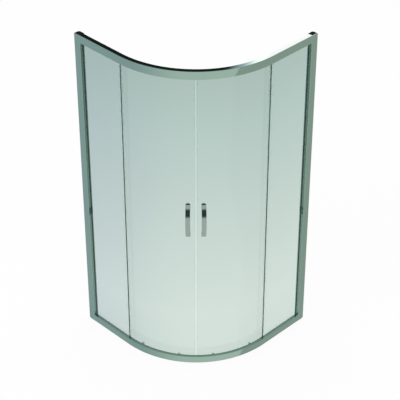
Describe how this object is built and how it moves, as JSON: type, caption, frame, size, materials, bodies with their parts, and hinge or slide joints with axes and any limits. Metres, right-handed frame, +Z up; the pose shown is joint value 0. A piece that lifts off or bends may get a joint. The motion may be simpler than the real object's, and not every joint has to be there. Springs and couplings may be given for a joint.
{
  "type": "quadrant shower enclosure",
  "caption": "Quadrant shower enclosure with curved sliding glass doors on rollers, flat fixed side panels, aluminium rails and posts, magnetic closing seals and bow handles.",
  "frame": {"origin": "on the shower tray, under the middle of the enclosure's square footprint", "axes": "+Z up; +Y towards the back wall and -X towards the left wall, so the curved entry faces between +X and -Y"},
  "size_m": [0.888, 0.888, 1.9],
  "materials": {
    "polished_aluminium": "bright polished",
    "clear_glass": "clear toughened, faint green",
    "chrome": "mirror",
    "stainless_steel": "satin",
    "black_plastic": "matte",
    "grey_gasket": "soft vinyl",
    "clear_seal": "translucent vinyl",
    "white_nylon": "moulded"
  },
  "bodies": {
    "frame": {"top_rail": "polished_aluminium", "bottom_rail": "polished_aluminium", "wall_profile_right": "polished_aluminium", "frame_post_right": "polished_aluminium", "post_cap_right": "black_plastic", "fixed_glass_right": "clear_glass", "glazing_gasket_right": "grey_gasket", "fixed_edge_seal_right": "clear_seal", "door_stop_right": "black_plastic", "wall_profile_left": "polished_aluminium", "frame_post_left": "polished_aluminium", "post_cap_left": "black_plastic", "fixed_glass_left": "clear_glass", "glazing_gasket_left": "grey_gasket", "fixed_edge_seal_left": "clear_seal", "door_stop_left": "black_plastic"},
    "door_right": {"door_glass_right": "clear_glass", "closing_seal_right": "clear_seal", "tail_seal_right": "clear_seal", "handle_right": "chrome", "top_carriers_right": "stainless_steel", "door_nuts_right": "chrome", "door_bushes_right": "white_nylon"},
    "top_wheel_rear_right": {"top_wheel_rear_right": "white_nylon"},
    "release_rear_right": {"bottom_spindle_rear_right": "chrome", "release_knob_rear_right": "chrome"},
    "bottom_wheel_rear_right": {"bottom_wheel_rear_right": "white_nylon"},
    "top_wheel_front_right": {"top_wheel_front_right": "white_nylon"},
    "release_front_right": {"bottom_spindle_front_right": "chrome", "release_knob_front_right": "chrome"},
    "bottom_wheel_front_right": {"bottom_wheel_front_right": "white_nylon"},
    "door_left": {"door_glass_left": "clear_glass", "closing_seal_left": "clear_seal", "tail_seal_left": "clear_seal", "handle_left": "chrome", "top_carriers_left": "stainless_steel", "door_nuts_left": "chrome", "door_bushes_left": "white_nylon"},
    "top_wheel_rear_left": {"top_wheel_rear_left": "white_nylon"},
    "release_rear_left": {"bottom_spindle_rear_left": "chrome", "release_knob_rear_left": "chrome"},
    "bottom_wheel_rear_left": {"bottom_wheel_rear_left": "white_nylon"},
    "top_wheel_front_left": {"top_wheel_front_left": "white_nylon"},
    "release_front_left": {"bottom_spindle_front_left": "chrome", "release_knob_front_left": "chrome"},
    "bottom_wheel_front_left": {"bottom_wheel_front_left": "white_nylon"}
  },
  "joints": [
    {"name": "door_right_slide_open", "type": "hinge", "parent": "frame", "child": "door_right", "pos_m": [-0.2465, 0.1491, 0.95], "axis": [0, 0, 1], "range_deg": [0, 19.79]},
    {"name": "top_wheel_rear_right_spin", "type": "hinge", "parent": "door_right", "child": "top_wheel_rear_right", "pos_m": [0.42478, 0.0314, 1.8801], "axis": [0.9903, -0.1392, 0], "range_deg": [-1200, 1200]},
    {"name": "release_rear_right_turn", "type": "hinge", "parent": "door_right", "child": "release_rear_right", "pos_m": [0.38913, 0.03641, 0.0169], "axis": [0.9903, -0.1392, 0], "range_deg": [0, 180]},
    {"name": "bottom_wheel_rear_right_spin", "type": "hinge", "parent": "release_rear_right", "child": "bottom_wheel_rear_right", "pos_m": [0.42478, 0.0314, 0.0199], "axis": [0.9903, -0.1392, 0], "range_deg": [-1600, 1600]},
    {"name": "top_wheel_front_right_spin", "type": "hinge", "parent": "door_right", "child": "top_wheel_front_right", "pos_m": [0.33836, -0.19373, 1.8801], "axis": [0.829, -0.5592, 0], "range_deg": [-1200, 1200]},
    {"name": "release_front_right_turn", "type": "hinge", "parent": "door_right", "child": "release_front_right", "pos_m": [0.30852, -0.1736, 0.0169], "axis": [0.829, -0.5592, 0], "range_deg": [0, 180]},
    {"name": "bottom_wheel_front_right_spin", "type": "hinge", "parent": "release_front_right", "child": "bottom_wheel_front_right", "pos_m": [0.33836, -0.19373, 0.0199], "axis": [0.829, -0.5592, 0], "range_deg": [-1600, 1600]},
    {"name": "door_left_slide_open", "type": "hinge", "parent": "frame", "child": "door_left", "pos_m": [-0.1491, 0.2465, 0.95], "axis": [0, 0, -1], "range_deg": [0, 19.79]},
    {"name": "top_wheel_rear_left_spin", "type": "hinge", "parent": "door_left", "child": "top_wheel_rear_left", "pos_m": [-0.0314, -0.42478, 1.8801], "axis": [0.1392, -0.9903, 0], "range_deg": [-1200, 1200]},
    {"name": "release_rear_left_turn", "type": "hinge", "parent": "door_left", "child": "release_rear_left", "pos_m": [-0.03641, -0.38913, 0.0169], "axis": [0.1392, -0.9903, 0], "range_deg": [0, 180]},
    {"name": "bottom_wheel_rear_left_spin", "type": "hinge", "parent": "release_rear_left", "child": "bottom_wheel_rear_left", "pos_m": [-0.0314, -0.42478, 0.0199], "axis": [0.1392, -0.9903, 0], "range_deg": [-1600, 1600]},
    {"name": "top_wheel_front_left_spin", "type": "hinge", "parent": "door_left", "child": "top_wheel_front_left", "pos_m": [0.19373, -0.33836, 1.8801], "axis": [0.5592, -0.829, 0], "range_deg": [-1200, 1200]},
    {"name": "release_front_left_turn", "type": "hinge", "parent": "door_left", "child": "release_front_left", "pos_m": [0.1736, -0.30852, 0.0169], "axis": [0.5592, -0.829, 0], "range_deg": [0, 180]},
    {"name": "bottom_wheel_front_left_spin", "type": "hinge", "parent": "release_front_left", "child": "bottom_wheel_front_left", "pos_m": [0.19373, -0.33836, 0.0199], "axis": [0.5592, -0.829, 0], "range_deg": [-1600, 1600]}
  ],
  "couplings": [
    {"joint": "top_wheel_rear_right_spin", "follows": "door_right_slide_open", "ratio": -56.761},
    {"joint": "bottom_wheel_rear_right_spin", "follows": "door_right_slide_open", "ratio": 75.681},
    {"joint": "top_wheel_front_right_spin", "follows": "door_right_slide_open", "ratio": -56.382},
    {"joint": "bottom_wheel_front_right_spin", "follows": "door_right_slide_open", "ratio": 75.176},
    {"joint": "top_wheel_rear_left_spin", "follows": "door_left_slide_open", "ratio": 56.761},
    {"joint": "bottom_wheel_rear_left_spin", "follows": "door_left_slide_open", "ratio": -75.681},
    {"joint": "top_wheel_front_left_spin", "follows": "door_left_slide_open", "ratio": 56.382},
    {"joint": "bottom_wheel_front_left_spin", "follows": "door_left_slide_open", "ratio": -75.176}
  ]
}
